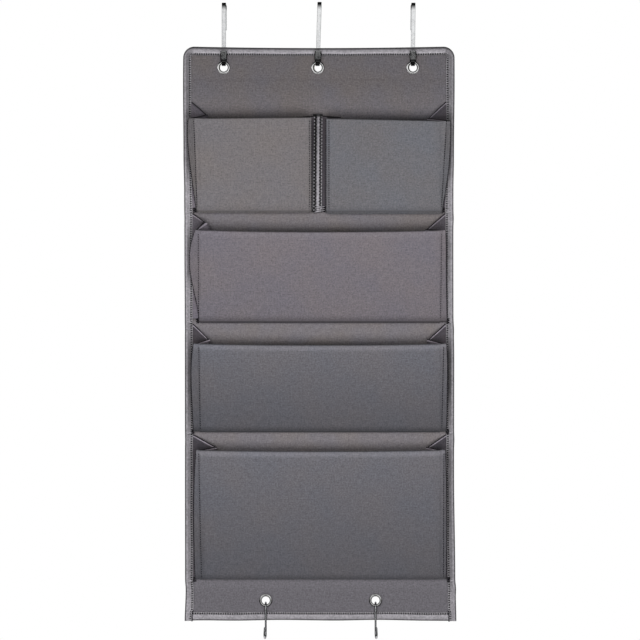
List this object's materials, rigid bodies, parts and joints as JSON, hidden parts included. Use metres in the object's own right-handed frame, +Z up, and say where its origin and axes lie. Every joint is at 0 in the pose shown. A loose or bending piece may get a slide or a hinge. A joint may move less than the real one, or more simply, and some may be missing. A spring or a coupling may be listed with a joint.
{
  "type": "over-door document organiser",
  "caption": "Bound cloth panel that hangs over a door on flat steel hooks, with rows of gusseted document pockets and wire S-hooks at its lower edge.",
  "frame": {"origin": "centre of the flat underside of the middle hook's saddle, where it rests on the door's top edge", "axes": "+Z up, the pockets face -Y, +X to the right when facing the pockets"},
  "size_m": [0.34, 0.0736, 0.7993],
  "materials": {
    "panel_cloth": "fine plain-weave polyester, matte mid grey",
    "pocket_cloth": "fine plain-weave polyester, matte mid grey",
    "gusset_cloth": "the same cloth, folded, seen in shade",
    "binding_tape": "smooth light grey woven binding tape",
    "stiffener_board": "plain grey sheet, sealed inside",
    "hook_steel": "bright plated steel strip and wire",
    "grommet_metal": "bright plated brass"
  },
  "bodies": {
    "hook_middle": {"door_hook_middle": "hook_steel"},
    "hook_left": {"door_hook_left": "hook_steel"},
    "hook_right": {"door_hook_right": "hook_steel"},
    "panel": {"back_face_cloth": "panel_cloth", "back_lining_cloth": "panel_cloth", "back_board_top": "stiffener_board", "back_board_upper": "stiffener_board", "back_board_lower": "stiffener_board", "back_board_bottom": "stiffener_board", "edge_binding": "binding_tape", "bottom_binding": "binding_tape", "divider_tape": "binding_tape", "grommet_top_left": "grommet_metal", "grommet_top_middle": "grommet_metal", "grommet_top_right": "grommet_metal", "grommet_bottom_left": "grommet_metal", "grommet_bottom_right": "grommet_metal", "grommet_washer_top_left": "grommet_metal", "grommet_washer_top_middle": "grommet_metal", "grommet_washer_top_right": "grommet_metal", "grommet_washer_bottom_left": "grommet_metal", "grommet_washer_bottom_right": "grommet_metal", "top_left_left_gusset": "gusset_cloth", "top_left_right_gusset": "gusset_cloth", "top_right_left_gusset": "gusset_cloth", "top_right_right_gusset": "gusset_cloth", "upper_left_gusset": "gusset_cloth", "upper_right_gusset": "gusset_cloth", "lower_left_gusset": "gusset_cloth", "lower_right_gusset": "gusset_cloth", "bottom_left_gusset": "gusset_cloth", "bottom_right_gusset": "gusset_cloth"},
    "s_hook_left": {"s_hook_left": "hook_steel"},
    "s_hook_right": {"s_hook_right": "hook_steel"},
    "top_left_pocket_front": {"top_left_pocket_cover": "pocket_cloth", "top_left_pocket_board": "stiffener_board"},
    "top_right_pocket_front": {"top_right_pocket_cover": "pocket_cloth", "top_right_pocket_board": "stiffener_board"},
    "upper_pocket_front": {"upper_pocket_cover": "pocket_cloth", "upper_pocket_board": "stiffener_board"},
    "lower_pocket_front": {"lower_pocket_cover": "pocket_cloth", "lower_pocket_board": "stiffener_board"},
    "bottom_pocket_front": {"bottom_pocket_cover": "pocket_cloth", "bottom_pocket_board": "stiffener_board"}
  },
  "joints": [
    {"name": "panel_swing", "type": "hinge", "parent": "hook_middle", "child": "panel", "pos_m": [0, -0.0297, -0.07092], "axis": [-1, 0, 0], "range_deg": [0, 10]},
    {"name": "hook_left_swing", "type": "hinge", "parent": "panel", "child": "hook_left", "pos_m": [-0.119, -0.0297, -0.07092], "axis": [-1, 0, 0], "range_deg": [-10, 0]},
    {"name": "hook_right_swing", "type": "hinge", "parent": "panel", "child": "hook_right", "pos_m": [0.119, -0.0297, -0.07092], "axis": [-1, 0, 0], "range_deg": [-10, 0]},
    {"name": "top_left_pocket_open", "type": "hinge", "parent": "panel", "child": "top_left_pocket_front", "pos_m": [-0.085, -0.03365, -0.2588], "axis": [1, 0, 0], "range_deg": [-6.9, 12], "deforming": ["top_left_left_gusset", "top_left_right_gusset"]},
    {"name": "top_right_pocket_open", "type": "hinge", "parent": "panel", "child": "top_right_pocket_front", "pos_m": [0.085, -0.03365, -0.2588], "axis": [1, 0, 0], "range_deg": [-6.9, 12], "deforming": ["top_right_left_gusset", "top_right_right_gusset"]},
    {"name": "upper_pocket_open", "type": "hinge", "parent": "panel", "child": "upper_pocket_front", "pos_m": [0, -0.03365, -0.3978], "axis": [1, 0, 0], "range_deg": [-7.1, 12], "deforming": ["upper_left_gusset", "upper_right_gusset"]},
    {"name": "lower_pocket_open", "type": "hinge", "parent": "panel", "child": "lower_pocket_front", "pos_m": [0, -0.03365, -0.5368], "axis": [1, 0, 0], "range_deg": [-7.3, 12], "deforming": ["lower_left_gusset", "lower_right_gusset"]},
    {"name": "bottom_pocket_open", "type": "hinge", "parent": "panel", "child": "bottom_pocket_front", "pos_m": [0, -0.03365, -0.7228], "axis": [1, 0, 0], "range_deg": [-5, 9], "deforming": ["bottom_left_gusset", "bottom_right_gusset"]},
    {"name": "s_hook_left_swing", "type": "hinge", "parent": "panel", "child": "s_hook_left", "pos_m": [-0.069, -0.0297, -0.75818], "axis": [-1, 0, 0], "range_deg": [0, 50]},
    {"name": "s_hook_right_swing", "type": "hinge", "parent": "panel", "child": "s_hook_right", "pos_m": [0.069, -0.0297, -0.75818], "axis": [-1, 0, 0], "range_deg": [0, 50]}
  ],
  "couplings": [
    {"joint": "hook_left_swing", "follows": "panel_swing", "ratio": -1},
    {"joint": "hook_right_swing", "follows": "panel_swing", "ratio": -1}
  ]
}
